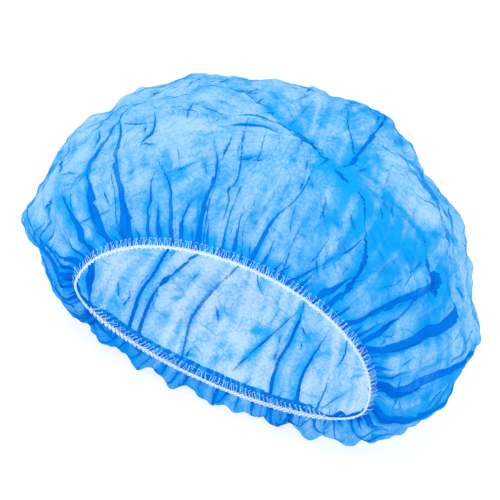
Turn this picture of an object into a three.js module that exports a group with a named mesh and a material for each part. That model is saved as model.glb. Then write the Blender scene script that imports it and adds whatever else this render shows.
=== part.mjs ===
// A disposable bouffant hairnet, lying puffed open on its side.
// One disc of light nonwoven cloth is gathered at its edge onto a thin elastic ring.
// Millimetres. +X is to the right across the mouth, +Y from the mouth to the back, +Z up.

import * as THREE from 'three';

// The cap as it lies
const CAP_WIDTH = 276;
const CAP_DEPTH = 156;
const CAP_HEIGHT = 168;

// The mouth, where the head goes in: its lower edge is lifted off the table by the ruffle
const MOUTH_WIDTH = 184;
const MOUTH_HEIGHT = 102;
const MOUTH_LIFT = 16;
const MOUTH_WIDEST_AT = 1 / 3;

// The cloth, and how softly it settles where it lies on the table
const CLOTH_WALL = 1.2;
const SETTLE_HEIGHT = 3;

// The gathers that the elastic pulls into the cloth
const GATHERS = 28;
const GATHER_DEPTH = 2.6;
const COLUMNS_PER_GATHER = 4;

// Slow waves round the cap make the gathers uneven. A wave swings about its mean; times is
// how often it goes round, and from is its angle in degrees at the right of the mouth.
const GATHER_LENGTH = { mean: 0.20, swing: 0.06, times: 5, from: 40 };
const GATHER_SHARE = { mean: 0.75, swing: 0.25, times: 7, from: 110 };
const WIDE_SPACING = { mean: 0, swing: 2.5, times: 3, from: 0 };
const NARROW_SPACING = { mean: 0, swing: 1.2, times: 5, from: 57 };

// The cloth is smooth in the seam and takes its full shape just behind it. On the lower side
// this starts later, past the tight turn where the ruffle leaves the seam.
const SMOOTH_UNTIL = { upper: 0.012, lower: 0.034 };
const FULL_SHAPE_FROM = { upper: 0.060, lower: 0.095 };

// Rows of the cloth from the mouth's edge to the back, close where it turns out of the seam
const ROWS_AT = [
  0, 0.008, 0.014, 0.019, 0.024, 0.031, 0.041, 0.056, 0.076, 0.10,
  0.13, 0.17, 0.22, 0.28, 0.35, 0.43, 0.52, 0.62, 0.73, 0.86, 1,
];

// The elastic ring along the edge of the mouth
const ELASTIC_WIDTH = 2.4;
const ELASTIC_THICKNESS = 2.0;
const ELASTIC_STATIONS = 84;
const SEAM_GAP = 0.3;

// Sections round the cap, from the edge of the mouth (at 0) to the middle of the back (at 1).
// rim: how far the section still follows the mouth's own size, which is added to the shares.
// depth, nose: shares of the cap's depth; nose is how far the lower side bulges forward.
// left, right: shares of half the width. top, bottom, middle: shares of the height.
const SECTION_COLUMNS = ['at', 'rim', 'depth', 'nose', 'left', 'right', 'top', 'bottom', 'middle'];
const SECTION_ROWS = [
  [0.000, 1.00, 0.000, 0.00, 0.00, 0.00, 0.00, 0.00, 0.00],
  [0.022, 1.00, 0.032, 0.00, 0.03, 0.03, 0.02, -0.01, 0.00],
  [0.060, 0.70, 0.058, 0.09, 0.30, 0.30, 0.29, -0.02, 0.09],
  [0.130, 0.35, 0.115, 0.10, 0.64, 0.63, 0.63, -0.04, 0.20],
  [0.260, 0.00, 0.230, 0.05, 0.99, 0.96, 0.97, -0.03, 0.35],
  [0.410, 0.00, 0.385, 0.00, 0.99, 0.97, 1.00, -0.04, 0.40],
  [0.570, 0.00, 0.565, 0.00, 0.91, 0.92, 0.99, -0.04, 0.44],
  [0.710, 0.00, 0.740, 0.00, 0.77, 0.82, 0.93, 0.01, 0.48],
  [0.840, 0.00, 0.885, 0.00, 0.56, 0.62, 0.82, 0.14, 0.50],
  [0.935, 0.00, 0.975, 0.00, 0.31, 0.36, 0.68, 0.31, 0.50],
  [1.000, 0.00, 1.000, 0.00, 0.00, 0.00, 0.50, 0.50, 0.50],
];
const SECTIONS = SECTION_ROWS.map((row) => (
  Object.fromEntries(SECTION_COLUMNS.map((column, i) => [column, row[i]]))
));

// Puffs and dents. turn: degrees round the cap, 0 at the right and 90 at the top.
// at: how far from the mouth's edge to the back. reach, spread: shares of the width.
const PUFFS = [
  { name: 'back shoulder', turn: 74, at: 0.76, reach: 0.026, spread: 0.11 },
  { name: 'right shoulder', turn: 52, at: 0.66, reach: -0.018, spread: 0.09 },
  { name: 'right flank', turn: 34, at: 0.53, reach: -0.022, spread: 0.09 },
  { name: 'right notch', turn: 26, at: 0.42, reach: -0.036, spread: 0.06 },
  { name: 'right lobe', turn: 8, at: 0.38, reach: 0.028, spread: 0.08 },
  { name: 'lower right lobe', turn: 350, at: 0.20, reach: 0.018, spread: 0.08 },
  { name: 'lower front lobe', turn: 326, at: 0.09, reach: 0.012, spread: 0.07 },
  { name: 'left notch', turn: 186, at: 0.12, reach: -0.030, spread: 0.050 },
  { name: 'left lobe', turn: 178, at: 0.20, reach: 0.014, spread: 0.06 },
  { name: 'left flank', turn: 151, at: 0.27, reach: -0.024, spread: 0.10 },
  { name: 'crown hollow', turn: 96, at: 0.60, reach: -0.018, spread: 0.09 },
];

// Creases, each along a bent line from one point of the cap through a second to a third.
// A point is its turn in degrees and its at. sink, spread: shares of the height.
const CREASES = [
  { from: [148, 0.04], by: [148, 0.14], to: [154, 0.30], sink: 0.030, spread: 0.034 },
  { from: [140, 0.04], by: [136, 0.20], to: [146, 0.44], sink: 0.034, spread: 0.040 },
  { from: [130, 0.04], by: [127, 0.14], to: [126, 0.28], sink: 0.024, spread: 0.032 },
  { from: [121, 0.03], by: [122, 0.16], to: [124, 0.34], sink: 0.026, spread: 0.034 },
  { from: [113, 0.04], by: [109, 0.24], to: [115, 0.50], sink: 0.036, spread: 0.042 },
  { from: [104, 0.10], by: [102, 0.26], to: [108, 0.46], sink: 0.024, spread: 0.034 },
  { from: [94, 0.04], by: [91, 0.18], to: [87, 0.42], sink: 0.034, spread: 0.042 },
  { from: [112, 0.66], by: [84, 0.50], to: [42, 0.37], sink: 0.060, spread: 0.075 },
  { from: [72, 0.05], by: [69, 0.14], to: [66, 0.27], sink: 0.030, spread: 0.038 },
  { from: [62, 0.04], by: [57, 0.16], to: [44, 0.33], sink: 0.036, spread: 0.040 },
  { from: [44, 0.05], by: [38, 0.15], to: [31, 0.30], sink: 0.032, spread: 0.038 },
  { from: [19, 0.04], by: [18, 0.14], to: [11, 0.30], sink: 0.032, spread: 0.038 },
  { from: [352, 0.04], by: [350, 0.14], to: [346, 0.28], sink: 0.026, spread: 0.036 },
  { from: [168, 0.04], by: [170, 0.14], to: [174, 0.30], sink: 0.030, spread: 0.036 },
  { from: [196, 0.04], by: [198, 0.18], to: [204, 0.38], sink: 0.028, spread: 0.040 },
  { from: [226, 0.08], by: [228, 0.24], to: [231, 0.44], sink: 0.040, spread: 0.046 },
  { from: [250, 0.10], by: [246, 0.36], to: [244, 0.62], sink: 0.024, spread: 0.042 },
  { from: [266, 0.10], by: [264, 0.36], to: [262, 0.56], sink: 0.022, spread: 0.042 },
  { from: [294, 0.10], by: [292, 0.40], to: [290, 0.66], sink: 0.024, spread: 0.042 },
  { from: [62, 0.98], by: [50, 0.80], to: [36, 0.62], sink: 0.034, spread: 0.050 },
  { from: [150, 0.96], by: [158, 0.78], to: [166, 0.56], sink: 0.034, spread: 0.050 },
  { from: [330, 0.97], by: [338, 0.76], to: [350, 0.54], sink: 0.034, spread: 0.050 },
  { from: [214, 0.97], by: [206, 0.76], to: [200, 0.54], sink: 0.030, spread: 0.048 },
];
const CREASE_STEPS = 24;

// A crease swells and fades along its line as one arch of a sine, between these shares of it
const CREASE_ARCH = { start: 0.12, end: 0.92 };

// How far apart on the cap the slope of the cloth is taken, and where its middle begins
const SLOPE_TURN = 1;
const SLOPE_AT = 0.004;
const MIDDLE_FROM = 0.995;

// Smooth value of one column of the section table, without overshoot between the rows
function sectionValue(column, at) {
  const last = SECTIONS.length - 1;
  let k = 0;
  while (k < last - 1 && at >= SECTIONS[k + 1].at) k += 1;
  const span = (i) => SECTIONS[i + 1].at - SECTIONS[i].at;
  const slope = (i) => (SECTIONS[i + 1][column] - SECTIONS[i][column]) / span(i);
  const tangent = (i) => {
    if (i === 0) return slope(0);
    if (i === last) return slope(last - 1);
    const before = slope(i - 1);
    const after = slope(i);
    if (before * after <= 0) return 0;
    const early = 2 * span(i) + span(i - 1);
    const late = span(i) + 2 * span(i - 1);
    return (early + late) / (early / before + late / after);
  };
  const u = (at - SECTIONS[k].at) / span(k);
  const start = SECTIONS[k][column];
  const end = SECTIONS[k + 1][column];
  return (1 + 2 * u) * (1 - u) ** 2 * start + u * u * (3 - 2 * u) * end
    + u * (1 - u) * span(k) * ((1 - u) * tangent(k) - u * tangent(k + 1));
}

// A point of the plain puffed cap, before its puffs, creases and gathers
function plainPoint(turn, at) {
  const angle = THREE.MathUtils.degToRad(turn);
  const side = Math.cos(angle);
  const rise = Math.sin(angle);
  const rim = sectionValue('rim', at);
  const halfWidth = rim * MOUTH_WIDTH / 2
    + sectionValue(side > 0 ? 'right' : 'left', at) * CAP_WIDTH / 2;
  const middle = rim * (MOUTH_LIFT + MOUTH_WIDEST_AT * MOUTH_HEIGHT)
    + sectionValue('middle', at) * CAP_HEIGHT;
  const top = rim * (MOUTH_LIFT + MOUTH_HEIGHT) + sectionValue('top', at) * CAP_HEIGHT;
  const bottom = rim * MOUTH_LIFT + sectionValue('bottom', at) * CAP_HEIGHT;
  const forward = sectionValue('nose', at) * (1 - rise) / 2;
  return new THREE.Vector3(
    halfWidth * side,
    (sectionValue('depth', at) - forward) * CAP_DEPTH,
    middle + (rise > 0 ? top - middle : middle - bottom) * rise,
  );
}

// Direction straight out of the plain cap's cloth
function plainNormal(turn, at) {
  if (at > MIDDLE_FROM) return new THREE.Vector3(0, 1, 0);
  const low = Math.max(at - SLOPE_AT, 0);
  const across = plainPoint(turn + SLOPE_TURN, at).sub(plainPoint(turn - SLOPE_TURN, at));
  const along = plainPoint(turn, at + SLOPE_AT).sub(plainPoint(turn, low));
  return across.cross(along).normalize().negate();
}

// The bent line of a crease, as points on the plain cap with how deep it is at each
const creaseLines = CREASES.map((crease) => {
  const line = [];
  for (let i = 0; i <= CREASE_STEPS; i += 1) {
    const u = i / CREASE_STEPS;
    const bend = (a, b, c) => (1 - u) ** 2 * a + 2 * u * (1 - u) * (2 * b - (a + c) / 2) + u * u * c;
    const turn = bend(crease.from[0], crease.by[0], crease.to[0]);
    const at = bend(crease.from[1], crease.by[1], crease.to[1]);
    const arch = THREE.MathUtils.lerp(CREASE_ARCH.start, CREASE_ARCH.end, u);
    line.push({ point: plainPoint(turn, at), share: Math.sin(Math.PI * arch) });
  }
  return { ...crease, line };
});

const puffCentres = PUFFS.map((puff) => ({ ...puff, point: plainPoint(puff.turn, puff.at) }));

const bell = (distance, spread) => Math.exp(-((distance / spread) ** 2));

// How far the cloth stands out of the plain cap through its puffs and creases
function standOut(point) {
  let height = 0;
  for (const puff of puffCentres) {
    height += puff.reach * CAP_WIDTH * bell(point.distanceTo(puff.point), puff.spread * CAP_WIDTH);
  }
  for (const crease of creaseLines) {
    let deepest = 0;
    for (const { point: near, share } of crease.line) {
      deepest = Math.max(deepest, share * bell(point.distanceTo(near), crease.spread * CAP_HEIGHT));
    }
    height -= crease.sink * CAP_HEIGHT * deepest;
  }
  return height;
}

// From 0, smooth in the seam, to 1, where the cloth has its full shape
function looseness(turn, at) {
  const lower = (1 - Math.sin(THREE.MathUtils.degToRad(turn))) / 2;
  const start = THREE.MathUtils.lerp(SMOOTH_UNTIL.upper, SMOOTH_UNTIL.lower, lower);
  const end = THREE.MathUtils.lerp(FULL_SHAPE_FROM.upper, FULL_SHAPE_FROM.lower, lower);
  return THREE.MathUtils.smoothstep(at, start, end);
}

// Value of a slow wave at a turn of the cap
function waveValue(wave, turn) {
  return wave.mean + wave.swing * Math.sin(THREE.MathUtils.degToRad(wave.times * turn + wave.from));
}

// How strongly the gathers show: most just behind the seam, fading into the cap
function gatherStrength(turn, at) {
  return bell(at, waveValue(GATHER_LENGTH, turn)) * waveValue(GATHER_SHARE, turn);
}

// Gathers are a little wider here and narrower there round the mouth
function unevenTurn(share) {
  const turn = 360 * share;
  return turn + waveValue(WIDE_SPACING, turn) + waveValue(NARROW_SPACING, turn);
}

// Cloth lies flat where it would reach below the table
function settle(height) {
  if (height <= -SETTLE_HEIGHT) return 0;
  if (height >= SETTLE_HEIGHT) return height;
  return (height + SETTLE_HEIGHT) ** 2 / (4 * SETTLE_HEIGHT);
}

// A point of the cap's outer skin; share goes once round the mouth
function skinPoint(share, at) {
  const turn = unevenTurn(share);
  const point = plainPoint(turn, at);
  const wave = Math.cos(2 * Math.PI * GATHERS * share);
  const height = standOut(point) + GATHER_DEPTH * gatherStrength(turn, at) * wave;
  point.addScaledVector(plainNormal(turn, at), height * looseness(turn, at));
  point.z = settle(point.z);
  return point;
}

function indexedGeometry(points, faces) {
  const geometry = new THREE.BufferGeometry();
  const positions = points.flatMap((p) => [p.x, p.y, p.z]);
  geometry.setAttribute('position', new THREE.Float32BufferAttribute(positions, 3));
  geometry.setIndex(faces.flat());
  geometry.computeVertexNormals();
  return geometry;
}

// The crown: the outer skin, the inner skin one wall inside it, and the cut edge at the mouth
function crownGeometry() {
  const columns = GATHERS * COLUMNS_PER_GATHER;
  const outer = [];
  for (const at of ROWS_AT.slice(0, -1)) {
    for (let column = 0; column < columns; column += 1) outer.push(skinPoint(column / columns, at));
  }
  const pole = outer.length;
  outer.push(skinPoint(0, 1));

  const skin = [];
  const rows = ROWS_AT.length - 1;
  for (let row = 0; row < rows; row += 1) {
    for (let column = 0; column < columns; column += 1) {
      const here = row * columns + column;
      const next = row * columns + (column + 1) % columns;
      if (row === rows - 1) {
        skin.push([here, pole, next]);
      } else {
        skin.push([here, here + columns, next]);
        skin.push([next, here + columns, next + columns]);
      }
    }
  }

  const normals = indexedGeometry(outer, skin).attributes.normal;
  const inner = outer.map((point, i) => {
    const normal = new THREE.Vector3().fromBufferAttribute(normals, i);
    return point.clone().addScaledVector(normal, -CLOTH_WALL);
  });
  const shift = outer.length;
  const lining = skin.map(([a, b, c]) => [a + shift, c + shift, b + shift]);
  const edge = [];
  for (let column = 0; column < columns; column += 1) {
    const next = (column + 1) % columns;
    edge.push([column, next, column + shift]);
    edge.push([next, next + shift, column + shift]);
  }
  return indexedGeometry([...outer, ...inner], [...skin, ...lining, ...edge]);
}

// The elastic: a closed band in front of the cloth's cut edge
function elasticGeometry() {
  const corners = [
    [ELASTIC_WIDTH / 2, 0],
    [ELASTIC_WIDTH / 2, -ELASTIC_THICKNESS],
    [-ELASTIC_WIDTH / 2, -ELASTIC_THICKNESS],
    [-ELASTIC_WIDTH / 2, 0],
  ];
  const points = [];
  for (let station = 0; station < ELASTIC_STATIONS; station += 1) {
    const turn = 360 * station / ELASTIC_STATIONS;
    const centre = plainPoint(turn, 0);
    const ahead = plainPoint(turn + 1, 0).sub(plainPoint(turn - 1, 0)).normalize();
    const outward = new THREE.Vector3(ahead.z, 0, -ahead.x);
    for (const [side, front] of corners) {
      const corner = centre.clone().addScaledVector(outward, side - CLOTH_WALL / 2);
      corner.y += front - SEAM_GAP;
      points.push(corner);
    }
  }
  const faces = [];
  for (let station = 0; station < ELASTIC_STATIONS; station += 1) {
    const here = station * corners.length;
    const there = ((station + 1) % ELASTIC_STATIONS) * corners.length;
    for (let i = 0; i < corners.length; i += 1) {
      const j = (i + 1) % corners.length;
      faces.push([here + i, there + i, here + j]);
      faces.push([here + j, there + i, there + j]);
    }
  }
  return indexedGeometry(points, faces);
}

const nonwoven = new THREE.MeshStandardMaterial({ color: 0x4fb0f7, roughness: 0.75, metalness: 0 });
const whiteThread = new THREE.MeshStandardMaterial({ color: 0xe6f0fa, roughness: 0.6, metalness: 0 });

const crown = new THREE.Mesh(crownGeometry(), nonwoven);
crown.name = 'crown';

const elasticBand = new THREE.Mesh(elasticGeometry(), whiteThread);
elasticBand.name = 'elastic_band';

const hairnet = new THREE.Group();
hairnet.add(crown, elasticBand);

// The origin is on the table, under the middle of the cap
const box = new THREE.Box3().setFromObject(hairnet);
hairnet.position.set(-(box.min.x + box.max.x) / 2, -(box.min.y + box.max.y) / 2, -box.min.z);
hairnet.updateMatrixWorld(true);

export default hairnet;
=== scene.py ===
# A disposable bouffant hairnet, lying puffed open on its side on a pale floor.
# One disc of thin blue nonwoven cloth is gathered onto an elastic edge by overlock stitches.
# Metres. +X is to the right across the mouth, +Y from the mouth to the back, +Z up.

import math

import bpy
import numpy as np
from mathutils import Matrix, Vector


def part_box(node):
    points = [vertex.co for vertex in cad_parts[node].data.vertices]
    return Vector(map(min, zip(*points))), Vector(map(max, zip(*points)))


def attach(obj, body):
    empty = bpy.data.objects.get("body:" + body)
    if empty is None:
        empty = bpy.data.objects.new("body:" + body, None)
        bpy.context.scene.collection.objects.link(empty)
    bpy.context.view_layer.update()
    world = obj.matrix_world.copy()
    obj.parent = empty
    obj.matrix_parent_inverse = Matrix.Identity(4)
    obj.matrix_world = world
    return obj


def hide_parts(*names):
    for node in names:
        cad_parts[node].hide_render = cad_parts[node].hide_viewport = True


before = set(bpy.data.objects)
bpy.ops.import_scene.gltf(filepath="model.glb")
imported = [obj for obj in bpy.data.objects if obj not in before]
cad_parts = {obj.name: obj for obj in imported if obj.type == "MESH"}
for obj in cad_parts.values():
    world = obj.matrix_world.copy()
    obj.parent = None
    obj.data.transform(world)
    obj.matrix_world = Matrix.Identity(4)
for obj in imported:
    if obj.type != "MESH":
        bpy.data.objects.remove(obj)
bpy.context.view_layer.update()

MM = 0.001

# The cap as it lies, and its mouth
CAP_WIDTH = 276 * MM
CAP_DEPTH = 156 * MM
CAP_HEIGHT = 168 * MM
MOUTH_WIDTH = 184 * MM
MOUTH_HEIGHT = 102 * MM
MOUTH_LIFT = 16 * MM
MOUTH_WIDEST_AT = 1 / 3
SETTLE_HEIGHT = 3 * MM
SEAM_GAP = 0.3 * MM

# The disc that the cap is cut from
DISC_DIAMETER = 533 * MM
DISC_RADIUS = DISC_DIAMETER / 2

# Sections round the cap, from the edge of the mouth (at 0) to the middle of the back (at 1).
# rim: how far the section still follows the mouth's own size, which is added to the shares.
# depth, nose: shares of the cap's depth; nose is how far the lower side bulges forward.
# left, right: shares of half the width. top, bottom, middle: shares of the height.
SECTION_COLUMNS = ("at", "rim", "depth", "nose", "left", "right", "top", "bottom", "middle")
SECTION_ROWS = np.array([
    [0.000, 1.00, 0.000, 0.00, 0.00, 0.00, 0.00, 0.00, 0.00],
    [0.022, 1.00, 0.032, 0.00, 0.03, 0.03, 0.02, -0.01, 0.00],
    [0.060, 0.70, 0.058, 0.09, 0.30, 0.30, 0.29, -0.02, 0.09],
    [0.130, 0.35, 0.115, 0.10, 0.64, 0.63, 0.63, -0.04, 0.20],
    [0.260, 0.00, 0.230, 0.05, 0.99, 0.96, 0.97, -0.03, 0.35],
    [0.410, 0.00, 0.385, 0.00, 0.99, 0.97, 1.00, -0.04, 0.40],
    [0.570, 0.00, 0.565, 0.00, 0.91, 0.92, 0.99, -0.04, 0.44],
    [0.710, 0.00, 0.740, 0.00, 0.77, 0.82, 0.93, 0.01, 0.48],
    [0.840, 0.00, 0.885, 0.00, 0.56, 0.62, 0.82, 0.14, 0.50],
    [0.935, 0.00, 0.975, 0.00, 0.31, 0.36, 0.68, 0.31, 0.50],
    [1.000, 0.00, 1.000, 0.00, 0.00, 0.00, 0.50, 0.50, 0.50],
])

# Puffs and dents: turn in degrees round the cap (0 right, 90 top), at, reach and spread as
# shares of the width
PUFFS = (
    (74, 0.76, 0.026, 0.11),
    (52, 0.66, -0.018, 0.09),
    (34, 0.53, -0.022, 0.09),
    (26, 0.42, -0.036, 0.06),
    (8, 0.38, 0.028, 0.08),
    (350, 0.20, 0.018, 0.08),
    (326, 0.09, 0.012, 0.07),
    (186, 0.12, -0.030, 0.050),
    (178, 0.20, 0.014, 0.06),
    (151, 0.27, -0.024, 0.10),
    (96, 0.60, -0.018, 0.09),
)

# Main creases, each along a bent line through three points (turn, at). sink and spread are
# shares of the height.
CREASES = (
    ((148, 0.04), (148, 0.14), (154, 0.30), 0.030, 0.034),
    ((140, 0.04), (136, 0.20), (146, 0.44), 0.034, 0.040),
    ((130, 0.04), (127, 0.14), (126, 0.28), 0.024, 0.032),
    ((121, 0.03), (122, 0.16), (124, 0.34), 0.026, 0.034),
    ((113, 0.04), (109, 0.24), (115, 0.50), 0.036, 0.042),
    ((104, 0.10), (102, 0.26), (108, 0.46), 0.024, 0.034),
    ((94, 0.04), (91, 0.18), (87, 0.42), 0.034, 0.042),
    ((112, 0.66), (84, 0.50), (42, 0.37), 0.060, 0.075),
    ((72, 0.05), (69, 0.14), (66, 0.27), 0.030, 0.038),
    ((62, 0.04), (57, 0.16), (44, 0.33), 0.036, 0.040),
    ((44, 0.05), (38, 0.15), (31, 0.30), 0.032, 0.038),
    ((19, 0.04), (18, 0.14), (11, 0.30), 0.032, 0.038),
    ((352, 0.04), (350, 0.14), (346, 0.28), 0.026, 0.036),
    ((168, 0.04), (170, 0.14), (174, 0.30), 0.030, 0.036),
    ((196, 0.04), (198, 0.18), (204, 0.38), 0.028, 0.040),
    ((226, 0.08), (228, 0.24), (231, 0.44), 0.040, 0.046),
    ((250, 0.10), (246, 0.36), (244, 0.62), 0.024, 0.042),
    ((266, 0.10), (264, 0.36), (262, 0.56), 0.022, 0.042),
    ((294, 0.10), (292, 0.40), (290, 0.66), 0.024, 0.042),
    ((62, 0.98), (50, 0.80), (36, 0.62), 0.034, 0.050),
    ((150, 0.96), (158, 0.78), (166, 0.56), 0.034, 0.050),
    ((330, 0.97), (338, 0.76), (350, 0.54), 0.034, 0.050),
    ((214, 0.97), (206, 0.76), (200, 0.54), 0.030, 0.048),
)
CREASE_STEPS = 24
CREASE_ARCH = (0.12, 0.92)

# The cloth's grid: it is worked out on a fine grid, then kept at even steps of cloth, in strips
# of rows from the mouth to the back, as (until, spacing, 1 column kept of how many). Steps are
# even over EVEN_ROUND degrees or EVEN_DOWN of cloth, each with SPARE of the mean step added.
COLUMNS = 2048
STRIPS = (
    (13 * MM, 2.2 * MM, 1), (62 * MM, 2.7 * MM, 2), (134 * MM, 1.8 * MM, 2), (268 * MM, 3.3 * MM, 4),
)
FINE_STEP = 0.6 * MM
FINE_COLUMNS = 1440
AT_STEPS = 401
EVEN_ROUND = 12
EVEN_DOWN = 44 * MM
SPARE_ROUND = 0.3
SPARE_DOWN = 0.1

# The hem: on the lower side of the mouth it is turned up, inside the elastic
HEM_WIDTH = 5.5 * MM
HEM_TURNED = (204, 216, 318, 328)
HEM_UPTURN = 8 * MM
HEM_BACK = 0.45

# The gathers behind the seam. Every pleat starts at the seam and is laid flat; those that reach
# further take up the cloth of the ones that have ended.
SEAM_PLEATS = 148
PLEAT_WIDTH = 3.7 * MM
PLEAT_REACH = ((2, 12 * MM), (4, 24 * MM), (8, 38 * MM), (16, 52 * MM))
LONG_REACH = 66 * MM
LOWER_REACH = 11 * MM
LAYER_GAP = 0.22 * MM
SEED = 11

# Main folds, laid flat along lines of (turn, at) places: widths along the line in steps of
# FOLD_WIDTH, lean (the side that lies under) and line. A fold darkens the cloth by it with painted
# shade, which partly stands for the layers it lays there, as far off as FOLD_SHADE of its width and
# FOLD_EDGE more, and less of it is laid the more it runs across the way to the back.
FOLD_WIDTH = 0.76 * MM
FOLD_SHADE_AMOUNT = 1.0
FOLD_SHADE = 0.7
FOLD_CROSSING = 0.7
FOLD_EDGE = 0.4 * MM
FOLD_SOFTNESS = 0.4
PLEAT_SOFTNESS = 0.25
SOFT_LEAST = 0.42 * MM
WAVE_PEAK = 0.6065
FOLD_TIP = 0.3 * MM
FOLD_STEPS = 24
FOLDS = (
    ((6.5, 5, 2.5, 1), 1, ((149, -0.02), (149, 0.12), (150, 0.20), (153, 0.26))),
    ((7, 5, 4, 3, 1), 1, ((140, -0.02), (138, 0.11), (138, 0.19), (141, 0.33), (144, 0.45))),
    ((3, 2.4, 1.8, 0.8), -1, ((132, -0.02), (128, 0.10), (128, 0.15), (124, 0.21))),
    ((4, 3.2, 2.2, 0.8), 1, ((122, -0.02), (121, 0.11), (123, 0.17), (126, 0.23))),
    ((5.5, 3.5, 3, 2.6, 1), -1, ((112, -0.02), (111, 0.12), (109, 0.18), (110, 0.27), (116, 0.40))),
    ((2.4, 1.6, 0.8), 1, ((108, -0.02), (109, 0.06), (109, 0.10))),
    ((2.4, 1.6, 1.4, 1), 1, ((103, -0.02), (103, 0.10), (102, 0.17), (100, 0.30))),
    ((0.8, 3, 2.6, 1.6, 0.8), -1, ((108, 0.11), (103, 0.18), (104, 0.27), (106, 0.36), (107, 0.49))),
    ((4.2, 3.4, 2), 1, ((163, -0.02), (157, 0.08), (159, 0.17))),
    ((5, 4, 3, 2), -1, ((153, 0.22), (148, 0.27), (146, 0.33), (143, 0.46))),
    ((1, 1.4, 1.4, 1), 1, ((134, 0.53), (127, 0.44), (122, 0.40), (113, 0.39))),
    ((0.8, 1.6, 1, 0.8), 1, ((123, 0.34), (119, 0.23), (118, 0.17), (115, 0.06))),
    ((1, 1.6, 1.6, 1), 1, ((101, 0.46), (101, 0.38), (100, 0.30), (100, 0.17))),
    ((1, 1.8, 2.4, 3, 4.4), -1, ((87, 0.36), (87, 0.25), (88, 0.18), (91, 0.12), (93, -0.02))),
    ((0.8, 1.6, 0.8), 1, ((85, 0.29), (82, 0.24), (77, 0.20))),
    ((0.8, 1.8, 1.2), -1, ((77, 0.205), (81, 0.178), (84, 0.15))),
    ((1, 1.6, 1.4), 1, ((83, 0.16), (84, 0.11), (80, -0.02))),
    ((0.8, 1.2, 0.8), 1, ((99, 0.075), (97, 0.12), (91, 0.14))),
    ((0.8, 1.2, 0.8), -1, ((84, 0.13), (79, 0.14), (72, 0.155))),
    ((2, 5, 7, 8, 8), 1, ((124, 0.59), (110, 0.60), (95, 0.56), (87, 0.43), (80, 0.36))),
    ((8, 7, 7, 7, 6), 1, ((80, 0.36), (70, 0.308), (63, 0.284), (56, 0.275), (42, 0.31))),
    ((1, 3.6, 2.6), 1, ((71, 0.80), (75, 0.63), (78, 0.50))),
    ((1, 2.4, 2), -1, ((87, 0.74), (83, 0.61), (77, 0.50))),
    ((2, 1.6, 0.8), 1, ((77, 0.52), (80, 0.44), (82, 0.38))),
    ((1.6, 1.6, 0.8), -1, ((76, 0.52), (68, 0.55), (58, 0.55))),
    ((1.6, 2.2, 1), 1, ((75, 0.53), (64, 0.62), (52, 0.66))),
    ((1.2, 1.6, 0.8), 1, ((94, 0.70), (97, 0.60), (101, 0.50))),
    ((1.5, 2, 2.4, 3, 3), 1, ((78, 0.49), (73, 0.49), (66, 0.46), (60, 0.42), (48, 0.36))),
    ((2, 5, 8), 1, ((58, 0.45), (50, 0.37), (42, 0.27))),
    ((3, 3, 2.6, 2.6, 2), 1, ((79, -0.02), (74, 0.06), (71, 0.094), (68, 0.14), (68, 0.21))),
    ((5.5, 3.4, 3, 2.4, 2), -1, ((68, -0.02), (65, 0.043), (63, 0.10), (58, 0.154), (49, 0.26))),
    ((6, 5, 5, 7, 8), 1, ((52, -0.02), (50, 0.05), (50, 0.094), (46, 0.194), (42, 0.31))),
    ((8, 9, 10, 8), 1, ((37, -0.02), (34, 0.10), (32, 0.18), (27, 0.32))),
    ((7, 7, 6, 4), -1, ((17, -0.02), (13, 0.06), (15, 0.13), (10, 0.33))),
    ((4, 6, 5, 2), 1, ((355, -0.02), (352, 0.08), (351, 0.17), (350, 0.30))),
    ((2, 5, 6, 5, 2), 1, ((74, 0.34), (70, 0.26), (66, 0.19), (62, 0.12), (60, 0.05))),
    ((7, 8, 6, 3), 1, ((226, 0.40), (228, 0.31), (232, 0.275), (235, 0.24), (240, 0.17))),
    ((3, 2.6, 3, 3.4), 1, ((242, 0.66), (245, 0.50), (244, 0.40), (246, 0.26))),
    ((3.4, 3, 2.4, 4, 5), -1, ((251, 0.68), (249, 0.57), (248, 0.48), (248, 0.34), (250, 0.22))),
    ((2.4, 3, 3, 2.4, 2), 1, ((265, 0.72), (262, 0.60), (261, 0.50), (260, 0.40), (263, 0.22))),
    ((2, 2.6, 3, 2), 1, ((290, 0.70), (284, 0.565), (281, 0.47), (276, 0.30))),
    ((0.8, 1.6, 0.8), 1, ((278, 0.39), (274, 0.344), (268, 0.30))),
    ((2, 3.4, 3.6, 4, 2.4), -1, ((289, 0.66), (288, 0.55), (286, 0.40), (287, 0.30), (290, 0.20))),
    ((1, 2.4, 3.6, 5, 5), 1, ((298, 0.60), (295, 0.48), (294, 0.36), (296, 0.25), (297, 0.14))),
    ((1, 2, 1.6), 1, ((309, 0.38), (306, 0.33), (303, 0.27))),
    ((1, 2, 1.8), 1, ((301, 0.43), (302, 0.33), (302, 0.27))),
    ((1, 1.8, 0.8), 1, ((284, 0.69), (282, 0.62), (280, 0.51))),
    ((6, 4, 2), 1, ((178, -0.02), (176, 0.12), (180, 0.26))),
    ((5, 4, 2), -1, ((196, -0.02), (198, 0.16), (203, 0.34))),
)

# Small folds strewn over the crown
SMALL_FOLDS = 560
SMALL_FOLD_LENGTH = (9 * MM, 42 * MM)
SMALL_FOLD_WIDTH = (0.7 * MM, 2.2 * MM)
SMALL_FOLD_SHARES = (0.03, 0.94)

# Crumples and gathers of the crown: heights, and waves as (count, longest, shortest)
LARGE_CRUMPLE = 1.3 * MM
SMALL_CRUMPLE = 0.85 * MM
FINE_CRUMPLE = 0.3 * MM
LARGE_WAVES = (36, 90 * MM, 40 * MM)
SMALL_WAVES = (40, 26 * MM, 12 * MM)
FINE_WAVES = (40, 13 * MM, 6 * MM)
GATHER_WAVES = 12
GATHER_COUNTS = (22, 60)
RUFFLE_HEIGHT = (1.0 * MM, 1.7 * MM)
MERIDIAN = 268 * MM
CLOTH_LIFT = 0.15 * MM

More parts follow.
